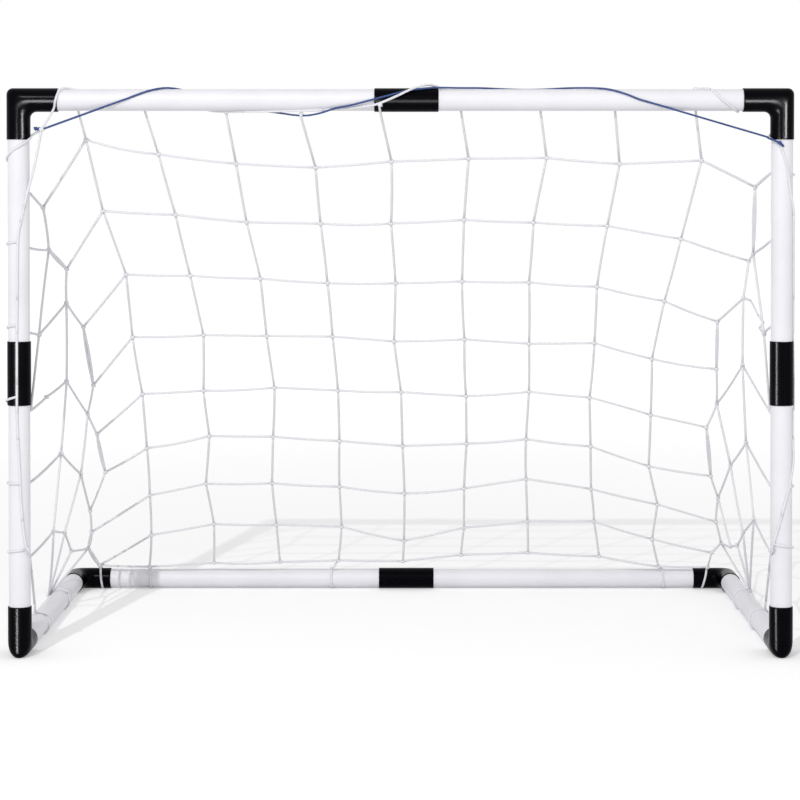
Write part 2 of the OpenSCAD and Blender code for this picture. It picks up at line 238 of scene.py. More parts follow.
# twisted cord: ridges that wind round it, from its own UV map (x round it, y along a stretch); the
# grooves between the ridges get a darker colour as painted shade, mixed with random fuzz
def makeCordFinish(name, look):
    finish, nodes, links, shader = newFinish(name)
    coords = nodes.new("ShaderNodeTexCoord")
    parts = nodes.new("ShaderNodeSeparateXYZ")
    links.new(coords.outputs["UV"], parts.inputs["Vector"])
    winding = nodes.new("ShaderNodeMath")
    winding.operation = "MULTIPLY_ADD"
    winding.inputs[1].default_value = look["turns"] * 2 * math.pi
    links.new(parts.outputs["Y"], winding.inputs[0])
    around = nodes.new("ShaderNodeMath")
    around.operation = "MULTIPLY"
    around.inputs[1].default_value = look["plies"] * 2 * math.pi
    links.new(parts.outputs["X"], around.inputs[0])
    links.new(around.outputs["Value"], winding.inputs[2])
    wave = nodes.new("ShaderNodeMath")
    wave.operation = "SINE"
    links.new(winding.outputs["Value"], wave.inputs[0])
    ridge = rangeOn(nodes, links, wave.outputs["Value"], 0.0, 1.0)
    ridge.node.inputs["From Min"].default_value = -1.0
    fuzz = noiseOn(nodes, links, coords.outputs["Object"], cordFinish["fuzz"], 3.0)
    blendIn = nodes.new("ShaderNodeMath")
    blendIn.operation = "MULTIPLY_ADD"
    blendIn.inputs[1].default_value = cordFinish["fuzzShare"]
    links.new(fuzz, blendIn.inputs[0])
    links.new(ridge, blendIn.inputs[2])
    # the groove colour is painted shade in the creases of the twist; the ridge colour is the cord's
    # own
    stops = list(zip(cordFinish["ridgeEdge"], (look["groove"], look["ridge"])))
    links.new(rampOn(nodes, links, blendIn.outputs["Value"], stops), shader.inputs["Base Color"])
    shader.inputs["Roughness"].default_value = look["rough"]
    shader.inputs["Specular IOR Level"].default_value = cordFinish["specular"]
    bumpOn(nodes, links, shader, blendIn.outputs["Value"], *cordFinish["bump"])
    return finish


# each groove colour is painted shade between the plies, darker than the cord's own ridge colour
twineLook = {
    "ridge": (0.82, 0.82, 0.855, 1),
    "groove": (0.72, 0.72, 0.76, 1),
    "turns": 14.0,
    "plies": 2.0,
    "rough": 0.75,
}
lacingLook = {
    "ridge": (0.055, 0.095, 0.27, 1),
    "groove": (0.022, 0.042, 0.15, 1),
    "turns": 9.0,
    "plies": 3.0,
    "rough": 0.55,
}
twineWhite = makeCordFinish("twineWhite", twineLook)
lacingBlue = makeCordFinish("lacingBlue", lacingLook)
connectorBlack = makeConnectorFinish("connectorBlack")
tubeWhite = {along: makeTubeFinish("tubeWhiteAlong" + along.upper(), along) for along in "xyz"}
print("finishes made")

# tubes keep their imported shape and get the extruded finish
for node in frame["record"]["subparts"]:
    name = node["node"]
    if node["material_slot"] == "tube":
        low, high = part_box(name)
        span = high - low
        along = "xyz"[max(range(3), key=lambda n: span[n])]
        tube = frame["nodes"][name]
        tube.data.materials.clear()
        tube.data.materials.append(tubeWhite[along])
print("tubes dressed")


def keepPiece(name, shape, finish):
    mesh = bpy.data.meshes.new(name)
    shape.to_mesh(mesh)
    shape.free()
    mesh.materials.append(finish)
    piece = bpy.data.objects.new(name, mesh)
    scene.collection.objects.link(piece)
    return piece


# connectors have moulded sockets, built along +X and turned into place
connector = {
    "segments": 64,
    "wall": 0.001,
    "rimRound": 0.0005,
    "mouthBevel": 0.0004,
    "ledge": 0.0018,
    "elbowReach": 0.0392,
    "elbowDepth": 0.026,
    "cornerRound": 0.0062,
    "roundSteps": 6,
    "cornerLoop": 0.0066,
    "couplerRib": 0.0025,
    "sharpEdge": 40,
}
socketR = connectorR - connector["wall"]
passageR = socketR - connector["ledge"]


# outline of a mouth, from the outer wall round the rim and into the socket
def mouthOutline(reach, depth):
    rim, bevel = connector["rimRound"], connector["mouthBevel"]
    turn = [math.radians(a) for a in (0, 30, 60, 90)]
    # a loop behind the rim keeps the wall's shading straight
    outline = [(reach - 3 * rim, connectorR)]
    outline += [
        (reach - rim + rim * math.sin(a), connectorR - rim + rim * math.cos(a)) for a in turn
    ]
    outline += [(reach, socketR + bevel), (reach - bevel, socketR)]
    outline += [(reach - depth, socketR), (reach - depth, passageR)]
    return outline


def spinAlongX(shape, outline, closed):
    verts = [shape.verts.new((x, 0, r)) for x, r in outline]
    edges = [shape.edges.new(pair) for pair in zip(verts, verts[1:])]
    if closed:
        edges.append(shape.edges.new((verts[-1], verts[0])))
    bmesh.ops.spin(
        shape,
        geom=verts + edges,
        cent=(0, 0, 0),
        axis=(1, 0, 0),
        angle=2 * math.pi,
        steps=connector["segments"],
        use_merge=True,
    )
    bmesh.ops.remove_doubles(shape, verts=shape.verts, dist=1e-6)


def couplerShape(half):
    shape = bmesh.new()
    right = mouthOutline(half, half - connector["couplerRib"] / 2)
    left = [(-x, r) for x, r in reversed(right)]
    spinAlongX(shape, right + left, True)
    bmesh.ops.recalc_face_normals(shape, faces=shape.faces)
    return shape


# an arm along +X, cut on the mitre plane and mirrored over it into an arm along +Z
def elbowShape():
    shape = bmesh.new()
    back = -2 * connectorR
    arm = [(back, connectorR)] + mouthOutline(connector["elbowReach"], connector["elbowDepth"])
    spinAlongX(shape, arm + [(back, passageR)], False)
    mitre = Vector((1, 0, -1)).normalized()
    bmesh.ops.bisect_plane(
        shape,
        geom=shape.verts[:] + shape.edges[:] + shape.faces[:],
        dist=1e-7,
        plane_co=(0, 0, 0),
        plane_no=mitre,
        clear_inner=True,
    )
    seam = [v for v in shape.verts if abs(v.co.dot(mitre)) < 1e-6]
    for v in seam:
        v.co -= v.co.dot(mitre) * mitre
    copied = bmesh.ops.duplicate(
        shape, geom=shape.verts[:] + shape.edges[:] + shape.faces[:]
    )["geom"]
    swap = Matrix(((0, 0, 1, 0), (0, 1, 0, 0), (1, 0, 0, 0), (0, 0, 0, 1)))
    bmesh.ops.transform(
        shape, matrix=swap, verts=[g for g in copied if isinstance(g, bmesh.types.BMVert)]
    )
    bmesh.ops.remove_doubles(shape, verts=shape.verts, dist=1e-6)
    bmesh.ops.recalc_face_normals(shape, faces=shape.faces)
    corner = [
        e
        for e in shape.edges
        if all(abs(v.co.dot(mitre)) < 1e-6 for v in e.verts)
        and all(math.hypot(v.co.y, v.co.x) > connectorR - 1e-5 for v in e.verts)
    ]
    bmesh.ops.bevel(
        shape,
        geom=corner,
        offset=connector["cornerRound"],
        offset_type="OFFSET",
        affect="EDGES",
        segments=connector["roundSteps"],
        profile=0.5,
        material=-1,
        clamp_overlap=True,
    )
    # a loop beside the round keeps the arms' shading straight
    for aside in (-connector["cornerLoop"], connector["cornerLoop"]):
        bmesh.ops.bisect_plane(
            shape,
            geom=shape.verts[:] + shape.edges[:] + shape.faces[:],
            dist=1e-7,
            plane_co=mitre * aside,
            plane_no=mitre,
        )
    return shape


def standOnFloor(shape):
    cut = bmesh.ops.bisect_plane(
        shape,
        geom=shape.verts[:] + shape.edges[:] + shape.faces[:],
        dist=1e-7,
        plane_co=(0, 0, 0),
        plane_no=(0, 0, -1),
        clear_outer=True,
    )["geom_cut"]
    bmesh.ops.holes_fill(shape, edges=[g for g in cut if isinstance(g, bmesh.types.BMEdge)])


def placeConnector(name, shape, node, body, turn, place, floor):
    bmesh.ops.transform(
        shape, matrix=Matrix.Translation(place) @ turn.to_4x4(), verts=shape.verts
    )
    if floor:
        standOnFloor(shape)
    piece = keepPiece(name, shape, connectorBlack)
    piece.data.shade_smooth()
    piece.data.set_sharp_from_angle(angle=math.radians(connector["sharpEdge"]))
    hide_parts(node)
    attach(piece, body)


def turned(*steps):
    turn = Matrix.Identity(3)
    for degrees, axis in steps:
        turn = Matrix.Rotation(math.radians(degrees), 3, axis) @ turn
    return turn


for node, body, steps in [
    ("crossbar_coupler", "crossbar", []),
    ("rear_bar_coupler", "rear_frame", []),
    ("left_post_coupler", "posts", [(-90, "Y")]),
    ("right_post_coupler", "posts", [(-90, "Y")]),
]:
    low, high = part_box(node)
    middle = (low + high) / 2
    half = max(high - low) / 2
    if body == "rear_frame":
        middle.z = baseZ
    shape = couplerShape(half)
    name = "coupler_" + node.replace("_coupler", "")
    placeConnector(name, shape, node, body, turned(*steps), middle, body == "rear_frame")

for node, body, steps, place, floor in [
    ("top_left_elbow", "crossbar", [(180, "X")], (-postX, frontY, topZ), False),
    ("top_right_elbow", "crossbar", [(180, "Y")], (postX, frontY, topZ), False),
    ("front_left_foot_elbow", "base", [(90, "Z")], (-postX, frontY, baseZ), True),
    ("front_right_foot_elbow", "base", [(90, "Z")], (postX, frontY, baseZ), True),
    ("rear_left_elbow", "rear_frame", [(90, "X")], (-postX, rearY, baseZ), True),
    ("rear_right_elbow", "rear_frame", [(90, "X"), (180, "Y")], (postX, rearY, baseZ), True),
]:
    name = "elbow_" + node.replace("_elbow", "")
    placeConnector(name, elbowShape(), node, body, turned(*steps), Vector(place), floor)
print("connectors moulded")

twine = {
    "radius": 0.0013,
    "sag": 0.008,
    "leastSag": 0.4,  # as a share of the sag, and how far it strays above that
    "sagStray": 0.7,
    "strandStray": 0.00036,
    "knotStray": 0.0009,
    "knotRise": 0.2,  # share of a knot's stray that goes up or down
    "press": 0.6,
    "apart": 0.0011,  # half the way between two strands side by side
    "seed": 7,
    "points": 7,
}
stray = np.random.default_rng(twine["seed"])


# a spot round a bar, by its angle from the front over the top
def roundBar(x, degrees, r, y=frontY, z=topZ):
    a = math.radians(degrees)
    return Vector((x, y - r * math.cos(a), z + r * math.sin(a)))


# a spot round a post, by its angle from the outer side over the front
def roundPost(sign, degrees, z, r):
    a = math.radians(degrees)
    return Vector((sign * (postX + r * math.cos(a)), frontY - r * math.sin(a), z))


# the knots of the back as seen, row by row from the head down, each row from the left
backNet = {
    "rows": [
        [(86, 139.5), (158.5, 154), (236, 163.5), (315.5, 167.5), (391.5, 161.5)]
        + [(468.5, 158.5), (546.5, 157.5), (619.5, 164), (701.5, 160)],
        [(103, 211), (175.5, 214.5), (246.5, 222), (320.5, 223.5), (391, 223.5)]
        + [(464, 220), (533.5, 222.5), (607.5, 226), (681, 239)],
        [(126, 274.5), (190, 275.5), (260.5, 278.5), (327.5, 283), (395.5, 283)]
        + [(462, 281), (529, 282.5), (597, 286.5), (664.5, 301)],
        [(132.5, 337), (203.5, 335), (266.5, 336), (332.5, 336.5), (394, 341.5)]
        + [(464.5, 339), (529, 343.5), (594.5, 343), (652, 359)],
        [(142.5, 394), (203.5, 390.5), (274.5, 387.5), (338, 390.5), (401, 392)]
        + [(466, 396), (529, 391.5), (589.5, 397.5), (650.5, 415)],
        [(147, 448), (209.5, 436), (273, 436.5), (339.5, 441), (402.5, 446)]
        + [(466.5, 443.5), (526, 439), (590.5, 446.5), (648.5, 466)],
        [(150, 495), (206, 483.5), (272, 483), (339.5, 486.5), (404.5, 493.5)]
        + [(464, 488.5), (526, 479), (591, 489), (657.5, 504.5)],
        [(151.5, 535), (214, 524), (276.5, 525), (341.5, 526.5), (404, 541)]
        + [(464, 527.5), (527.5, 521), (594, 521), (652, 539)],
        [(149.5, 566.5), (214, 562.5), (280, 562), (338.5, 560), (403, 561)]
        + [(461, 555), (528, 552.5), (599, 556), (658.5, 566.5)],
    ],
    "footTies": {1: 0, 4: -9, 9: 5},  # columns tied to the rear bar, and how far aside (mm)
    # where the columns meet the crossbar (mm)
    "headX": (-320, -254, -173, -98, -20, 60, 139, 213, 293),
}
# the sides, as seen: fold knots lie on the slope, inner ones at a depth (mm), posts give heights;
# a knot's number is its row, g9 is where the foot of the side is bunched on the side tube; the edge
# rope goes down a post (angle round it, height), held by rings that rise to it (mm), and the lean
# says how far outside the top of its tube the foot is bunched (degrees)
sideNets = {
    "left": {
        "sign": -1,
        "fold": {
            "a1": (43, 207.5), "a2": (66.7, 269), "a3": (83.3, 327), "a4": (93.3, 385.5),
            "x5": (87.5, 414), "a5": (97, 434), "a6": (105.4, 472), "b6": (90, 510.5),
            "a7": (91.5, 532), "a8": (88.3, 548), "a9": (99.5, 565),
        },
        "inner": {
            "i2": (48.8, 250, -140), "i3": (66.4, 303, -86), "j3": (39, 335, -174),
            "i5": (66.6, 381, -59), "k5": (46.5, 397, -130), "i6": (61, 453, -38),
            "j6": (80.8, 474, 66), "i7": (53.5, 531, -62), "j7": (64.6, 532.5, 8),
            "k7": (71.3, 551, 48),
        },
        "post": {"p1": 193.5, "p2": 248.5, "p3": 333.5, "p5": 411, "p6": 482.5, "p7": 556.5},
        "strands": "c1r1 a1 p1, a1 i2 p2, c1r2 a2 i3 a3, c1r3 a3, i2 j3 p3, i3 j3 p5, c1r4 a4 x5,"
        " i3 i5 k5 p5, i5 x5 a5, c1r5 a5, x5 j6, i5 i6 p6, i6 j6 b6, c1r6 a6 b6 a7, c1r7 a7,"
        " i6 i7 p7, j6 j7, i7 j7 k7 a8, i7 g9, j7 g9, k7 g9, a8 g9, c1r8 a9, c1r9 a9",
        "doubled": "i2 a2, a3 a4, a5 a6, a7 a8, a8 a9",
        "rope": [
            (147, 192), (108, 222), (94, 240), (90, 300), (88, 330), (88, 339), (88, 404),
            (87, 414), (92, 440), (98, 465), (106, 500), (118, 530), (134, 548), (158, 557),
        ],
        "rings": {
            "p2": (450, 7), "p3": (446, 9), "p5": (446, 15), "p6": (460, 0), "p7": (480, 8),
        },
        "ropeFoot": (-0.3816, -0.089),
        "gatherLean": 72,
        "elbowSlant": 3,
    },
    "right": {
        "sign": 1,
        "fold": {
            "a1": (755, 187), "a2": (748.8, 260.8), "a3": (717.5, 321.5), "a4": (716.5, 369),
            "x5": (716.7, 404), "a5": (706.3, 427.3), "a6": (710.6, 475.8), "b6": (718, 497.5),
            "a7": (715.8, 521.7), "d7": (721, 542.8), "a8": (711.7, 552.5), "a9": (707.5, 567),
        },
        "inner": {
            "i2": (753.2, 253.5, -108), "i3": (743.3, 298, -98), "qa3": (750.5, 300.5, -115),
            "qb3": (758, 315, -140), "qc3": (763.5, 323, -150), "qd3": (759.5, 328, -160),
            "j3": (764, 334, -172), "i5": (742.5, 365, -80), "i6": (746, 442.5, -46),
            "j6": (730.5, 465, 43), "i7": (753.7, 519.5, -70), "j7": (743, 532.5, -5),
            "k7": (737, 545, 40), "m7": (730.5, 546.5, 80),
        },
        "post": {"p1": 173, "p2": 241, "p3": 327.5, "p5": 413, "p6": 485.8, "p7": 552},
        "strands": "c9r1 a1 p1, a1 p1, i2 p2, c9r2 a2 i3 a3, i2 a2, c9r3 a3, i2 j3 p3,"
        " i3 qa3 qb3 qc3 qd3 j3, j3 p5, c9r4 a4 x5 a5, i3 i5 p5, i5 x5 j6 j7, c9r5 a5,"
        " c9r6 a6 b6 a7, i5 i6 p6, i6 j6 b6 m7, c9r7 a7 d7 a8 a9, c9r8 a8,"
        " c9r9 a9, i6 i7 p7, i7 j7 k7 m7 d7, i7 g9, j7 g9, k7 g9, d7 g9",
        "doubled": "a1 i2, a3 a4, a5 a6",
        "rope": [
            (85, 158), (70, 170), (54, 190), (33, 205), (15, 215), (5, 240), (0, 300), (-3, 330),
            (-3, 339), (-3, 404), (0, 414), (6, 440), (22, 468), (75, 500), (115, 530), (139, 545),
            (158, 555),
        ],
        "rings": {
            "p1": (430, -2), "p2": (365, 1), "p3": (360, 9), "p5": (360, 2.5), "p6": (415, 0),
            "p7": (500, 9),
        },
        "ropeFoot": (0.3835, -0.066),
        "gatherLean": 34,
        "elbowSlant": -6.4,
    },
}
# where the strands end behind a post (angle), and the bunched foot of a side on its tube
sideTie = {
    "behindPost": 208,
    "overPost": 0.0004,
    "gatherY": 0.062,
    "overLoop": 0.0008,
    "climb": 0.003,
    "turn": 420,
    "steps": 28,
}

knots = {}
strands = []
for j, row in enumerate(backNet["rows"], start=1):
    for i, spot in enumerate(row, start=1):
        jitter = stray.normal(0, twine["knotStray"], 3)
        jitter = Vector((0, jitter[1], jitter[2] * twine["knotRise"]))
        knots[f"c{i}r{j}"] = seenOnSlope(*spot) + jitter
rowCount, columnCount = len(backNet["rows"]), len(backNet["rows"][0])
for i in range(1, columnCount + 1):
    for j in range(1, rowCount + 1):
        if j < rowCount:
            strands.append((f"c{i}r{j}", f"c{i}r{j + 1}"))
        if i < columnCount:
            strands.append((f"c{i}r{j}", f"c{i + 1}r{j}"))

loopR = tubeR + twine["radius"] * twine["press"]
sleeveR = connectorR + twine["radius"] * twine["press"]
doubled = []
for name, side in sideNets.items():
    sign = side["sign"]
    for knot, spot in side["fold"].items():
        knots[name + knot] = seenOnSlope(*spot)
    for knot, (u, v, depth) in side["inner"].items():
        knots[name + knot] = seenAt(u, v, depth / 1000)
    for knot, v in side["post"].items():
        z, r = heightSeen(v, frontY), loopR + sideTie["overPost"]
        knots[name + knot] = roundPost(sign, sideTie["behindPost"], z, r)
    lean, r = math.radians(side["gatherLean"]), loopR + sideTie["overLoop"]
    outward, upward = r * math.sin(lean), r * math.cos(lean)
    knots[name + "g9"] = Vector((sign * (postX + outward), sideTie["gatherY"], baseZ + upward))
    for chain in [chain.split() for chain in side["strands"].split(",")]:
        ends = [knot if knot[0] == "c" else name + knot for knot in chain]
        strands += zip(ends, ends[1:])
    for pair in side["doubled"].split(","):
        doubled.append(tuple(name + knot for knot in pair.split()))


# a strand hangs in a shallow arc between its two knots
def hanging(a, b, apart=0.0):
    slack = twine["leastSag"] + abs(stray.normal(0, twine["sagStray"]))
    drop = (b - a).length * twine["sag"] * slack
    aside = Vector(stray.normal(0, 1, 3)) * twine["strandStray"]
    aside += (b - a).cross(Vector((0, 1, 0))).normalized() * apart
    path = []
    for n in range(twine["points"]):
        t = n / (twine["points"] - 1)
        path.append(a.lerp(b, t) + (aside - Vector((0, 0, drop))) * 4 * t * (1 - t))
    return path


# a loop of twine round a tube, by its turn in degrees, climbing a little along it
def roundTube(centre, along, r, turn, climb, steps):
    along = Vector(along)
    side = along.orthogonal().normalized()
    other = along.cross(side)
    path = []
    for n in range(steps + 1):
        a = math.radians(turn * n / steps)
        place = centre + along * climb * n / steps
        path.append(place + r * (math.cos(a) * side + math.sin(a) * other))
    return path


# a long run is cut into stretches as long as a mesh, so that its lay keeps one pitch
def stretches(path, length=0.076):
    runs, run, gone = [], [path[0]], 0.0
    for a, b in zip(path, path[1:]):
        run.append(b)
        gone += (b - a).length
        if gone > length:
            runs.append(run)
            run, gone = [b], 0.0
    if len(run) > 1:
        runs.append(run)
    return runs


# a smooth run through chosen points
def smoothRun(points, steps):
    ends = [2 * points[0] - points[1]] + points + [2 * points[-1] - points[-2]]
    path = []
    for p, q, r, s in zip(ends, ends[1:], ends[2:], ends[3:]):
        for n in range(steps):
            t = n / steps
            path.append(
                0.5
                * (
                    2 * q
                    + (r - p) * t
                    + (2 * p - 5 * q + 4 * r - s) * t * t
                    + (3 * q - p - 3 * r + s) * t * t * t
                )
            )
    return path + [points[-1]]


strips = {part: {"runs": [], "knots": []} for part in ("head", "middle", "foot")}


# rows 1 and 2 hang from the crossbar, rows to 5 from the posts, the rest from the base
def stripOf(*ends):
    row = max(int(knot[-1]) for knot in ends)
    return strips["head" if row <= 2 else "middle" if row <= 5 else "foot"]


for a, b in strands:
    stripOf(a, b)["runs"].append(hanging(knots[a], knots[b]))
for a, b in doubled:
    for apart in (-twine["apart"], twine["apart"]):
        stripOf(a, b)["runs"].append(hanging(knots[a], knots[b], apart))
# bends (q) and the ends behind the posts (p) have no knot
for knot, place in knots.items():
    if not set(knot) & set("pq"):
        stripOf(knot)["knots"].append(place)

couplerFoot, couplerTop = (corner.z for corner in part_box("left_post_coupler"))
besideCoupler = 0.002  # twine this near to a coupler is already lifted over its rim


# what the rope or a ring lies on at a height of a post
def postSkin(z):
    onCoupler = couplerFoot - besideCoupler < z < couplerTop + besideCoupler
    return sleeveR if onCoupler or z > topZ - connector["elbowReach"] else loopR


rearTieAngles = range(60, -341, -20)


# a loop from a knot down the front of the rear bar and round it, in a slanting plane (mm)
def rearTie(knot, aside, slant, r):
    x = knots[knot].x + aside / 1000
    loop = [knots[knot]]
    for a in rearTieAngles:
        lean = slant / 1000 * (1 - math.cos(math.radians(a - 90))) / 2
        loop.append(roundBar(x + lean, a, r, rearY, baseZ))
    return loop


# rings and edge ropes that hold the sides on the posts, and ties on the side tubes and rear elbows
ringStart, ringSteps = 200, 24
edgeRopes = {}
for name, side in sideNets.items():
    sign = side["sign"]
    for knot, (last, rise) in side["rings"].items():
        ring = []
        for n in range(ringSteps + 1):
            z = knots[name + knot].z + rise / 1000 * n / ringSteps
            a = ringStart + (last - ringStart) * n / ringSteps
            ring.append(roundPost(sign, a, z, postSkin(z)))
        stripOf(knot)["runs"].append(ring)
    heights = [(a, heightSeen(v, frontY - tubeR)) for a, v in side["rope"]]
    edgeRopes[name] = [roundPost(sign, a, z, postSkin(z)) for a, z in heights]
    x, y = side["ropeFoot"]
    aside = x - sign * postX
    edgeRopes[name].append(Vector((x, y, baseZ + math.sqrt(loopR**2 - aside**2))))
    climb, turn, steps = sideTie["climb"], sideTie["turn"], sideTie["steps"]
    for y in (sideTie["gatherY"], y):
        wrap = Vector((sign * postX, y - climb / 2, baseZ))
        loop = roundTube(wrap, (0, 1, 0), loopR, turn, climb, steps)
        strips["foot"]["runs"] += stretches(loop)
    strips["foot"]["runs"].append(rearTie(name + "a9", 0, side["elbowSlant"], sleeveR))
for i, aside in backNet["footTies"].items():
    strips["foot"]["runs"].append(rearTie(f"c{i}r9", aside, 1, loopR))

barCoupler = (couplerLow.x, couplerHigh.x)
besideElbow = 0.001


# radius of the head rope round the crossbar: over a connector or the bare tube
def barSkin(x):
    onCoupler = barCoupler[0] - besideCoupler < x < barCoupler[1] + besideCoupler
    onElbow = abs(x) > postX - connector["elbowReach"] - besideElbow
    return sleeveR if onCoupler or onElbow else loopR


# the columns' ends, behind the crossbar or on its front; the fourth hangs below it (angle, mm)
behindBar = (238, 205, 172)
columnEnds = {1: (*behindBar, 130), 3: (262,), 5: (-62, -24), 9: (*behindBar, 140, 112)}
hangingEnd = {"column": 4, "spots": ((272, 6.5), (277, 3))}
for i, x in enumerate(backNet["headX"], start=1):
    x /= 1000
    if i == hangingEnd["column"]:
        ends = [roundBar(x, a, barSkin(x) + below / 1000) for a, below in hangingEnd["spots"]]
    else:
        ends = [roundBar(x, a, barSkin(x)) for a in columnEnds.get(i, behindBar)]
    strips["head"]["runs"].append(smoothRun([knots[f"c{i}r1"]] + ends, 3))
    strips["head"]["knots"].append(ends[-1])

# the corners of the net are tied round the tops of the posts (angle, height in mm), where the
# head rope ends
cornerKnot = Vector((-0.354, frontY - 0.009, 0.5238))
cornerTies = {
    "left": [
        (188, 518), (160, 515), (125, 510.5), (90, 506), (45, 500), (0, 494.5), (-45, 490),
        (-110, 487),
    ],
    "right": [
        (235, 522), (205, 518.5), (180, 516.3), (160, 514.6), (147, 513.2), (120, 510),
        (105, 506.6), (96, 502),
    ],
}
ties = {}
for name, spots in cornerTies.items():
    sign = sideNets[name]["sign"]
    ties[name] = [roundPost(sign, a, z / 1000, postSkin(z / 1000)) for a, z in spots]
# the rope's way along the crossbar (mm), its angle round it, and whether it lies over the lacing
headTurns = [
    (-343, -55, 0), (-340, -5, 0), (-337, 45, 0), (-332, 85, 0), (-322, 118, 0), (-300, 148, 0),
    (-260, 158, 0), (-230, 168, 0), (-205, 205, 0), (-190, 240, 0), (-175, 262, 0), (-150, 276, 0),
    (-120, 285, 0), (-90, 294, 0), (-62, 306, 0), (-40, 322, 0), (-24, 338, 0), (-6, 369, 1),
    (6, 393, 1), (16, 416, 1), (30, 444, 1), (45, 478, 0), (62, 505, 0), (90, 516, 0),
    (140, 520, 0), (200, 520, 0), (262, 514, 0), (286, 485, 0), (302, 444, 0), (310, 402, 0),
    (317, 362, 0), (325, 332, 0), (331, 300, 0), (334.5, 262, 0), (335.5, 225, 0), (336, 190, 0),
]
overLacing = 0.0024
headRope = [cornerKnot]
for x, a, over in headTurns:
    headRope.append(roundBar(x / 1000, a, barSkin(x / 1000) + over * overLacing))
# from there it is hidden along the back of the elbow
for x, z in ((0.346, 0.5535), (0.366, 0.5525), (0.377, 0.545), (0.377, 0.532)):
    headRope.append(Vector((x, frontY + sleeveR, z)))
headRope += ties["right"]
besidePost = cornerKnot.lerp(edgeRopes["left"][0], 0.6) + Vector((0.001, 0, 0))
# each rope is shared out over the strips
for strip, points in [
    ("head", headRope + edgeRopes["right"][:5]),
    ("head", [cornerKnot] + ties["left"]),
    ("head", [cornerKnot, besidePost] + edgeRopes["left"][:2]),
    ("middle", edgeRopes["left"][1:9]),
    ("foot", edgeRopes["left"][8:]),
    ("middle", edgeRopes["right"][4:12]),
    ("foot", edgeRopes["right"][11:]),
]:
    strips[strip]["runs"] += stretches(smoothRun(points, 6))
strips["head"]["knots"].append(cornerKnot)
for name in sideNets:
    strips["foot"]["knots"].append(edgeRopes[name][-1])


# cords are round curves made into a mesh, with the curve's own UV map
def cordMesh(name, runs, radius):
    curve = bpy.data.curves.new(name, "CURVE")
    curve.dimensions = "3D"
    curve.bevel_depth = radius
    curve.bevel_resolution = 1
    curve.use_fill_caps = True
    for run in runs:
        spline = curve.splines.new("POLY")
        spline.points.add(len(run) - 1)
        for point, place in zip(spline.points, run):
            point.co = (*place, 1)
    drawn = bpy.data.objects.new(name + "Curve", curve)
    scene.collection.objects.link(drawn)
    bpy.context.view_layer.update()
    mesh = bpy.data.meshes.new_from_object(
        drawn.evaluated_get(bpy.context.evaluated_depsgraph_get())
    )
    bpy.data.objects.remove(drawn)
    shape = bmesh.new()
    shape.from_mesh(mesh)
    bpy.data.meshes.remove(mesh)
    bmesh.ops.remove_doubles(shape, verts=shape.verts, dist=1e-6)
    return shape


# bars and tubes that twine lies on: axis, ends along it, radius
skins = []
footTop = 0.04
elbowFoot = topZ - connector["elbowReach"]
elbowMouth = postX - connector["elbowReach"]
for sign in (-1, 1):
    postAxis = (sign * postX, frontY)
    skins.append(("z", postAxis, footTop, elbowFoot, tubeR))
    skins.append(("z", postAxis, elbowFoot, topZ, connectorR))
    skins.append(("z", postAxis, couplerFoot, couplerTop, connectorR))
    skins.append(("y", (sign * postX, baseZ), frontY, rearY, tubeR))
for y, z in ((frontY, topZ), (rearY, baseZ)):
    skins.append(("x", (y, z), -elbowMouth, elbowMouth, tubeR))
    skins += [("x", (y, z), *sorted((s * elbowMouth, s * postX)), connectorR) for s in (-1, 1)]
skins.append(("x", (frontY, topZ), *barCoupler, connectorR))


# twine is drawn flat where it lies on a tube, a connector or the floor
def pressFlat(shape, gap=0.00005):
    for axis, centre, first, last, r in skins:
        along = "xyz".index(axis)
        p, q = [n for n in range(3) if n != along]
        for v in shape.verts:
            if first <= v.co[along] <= last:
                a, b = v.co[p] - centre[0], v.co[q] - centre[1]
                away = math.hypot(a, b)
                if away < r + gap:
                    v.co[p] = centre[0] + a / away * (r + gap)
                    v.co[q] = centre[1] + b / away * (r + gap)
    for v in shape.verts:
        v.co.z = max(v.co.z, gap)


# a knot is two turns of cord drawn tight across each other
def addKnot(shape, place, radius, knot):
    lean = Matrix.Rotation(math.radians(knot["lean"]), 4, "X")
    for turn in knot["turns"]:
        spun = Matrix.Rotation(math.radians(turn), 4, knot["axis"])
        bmesh.ops.create_uvsphere(
            shape,
            u_segments=knot["segments"][0],
            v_segments=knot["segments"][1],
            radius=radius * knot["swell"],
            matrix=Matrix.Translation(place) @ lean @ spun @ Matrix.Diagonal(knot["squeeze"]),
            calc_uvs=True,
        )


twineKnot = {
    "lean": -52,
    "turns": (25, 115),
    "axis": "Z",
    "segments": (8, 5),
    "swell": 1.5,
    "squeeze": (1.55, 1.05, 1.2, 1),
}
# CAD net nodes that the strips replace: the net's own for every strip, and each strip's extra ones,
# hidden as the strips are made
netNodes = ["net_back", "net_left", "net_right", "left_post_net_loops", "right_post_net_loops"]
extraNodes = {
    "head": ["net_head_rope"],
    "middle": [],
    "foot": ["rear_bar_net_loops", "left_side_net_loops", "right_side_net_loops"],
}
for part, strip in strips.items():
    shape = cordMesh("net_" + part, strip["runs"], twine["radius"])
    for place in strip["knots"]:
        addKnot(shape, place, twine["radius"], twineKnot)
    pressFlat(shape)
    piece = keepPiece("net_" + part, shape, twineWhite)
    piece.data.shade_smooth()
    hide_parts(*netNodes, *extraNodes[part])
    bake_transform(piece)
print("net hung:", len(strands), "strands,", len(knots), "knots")

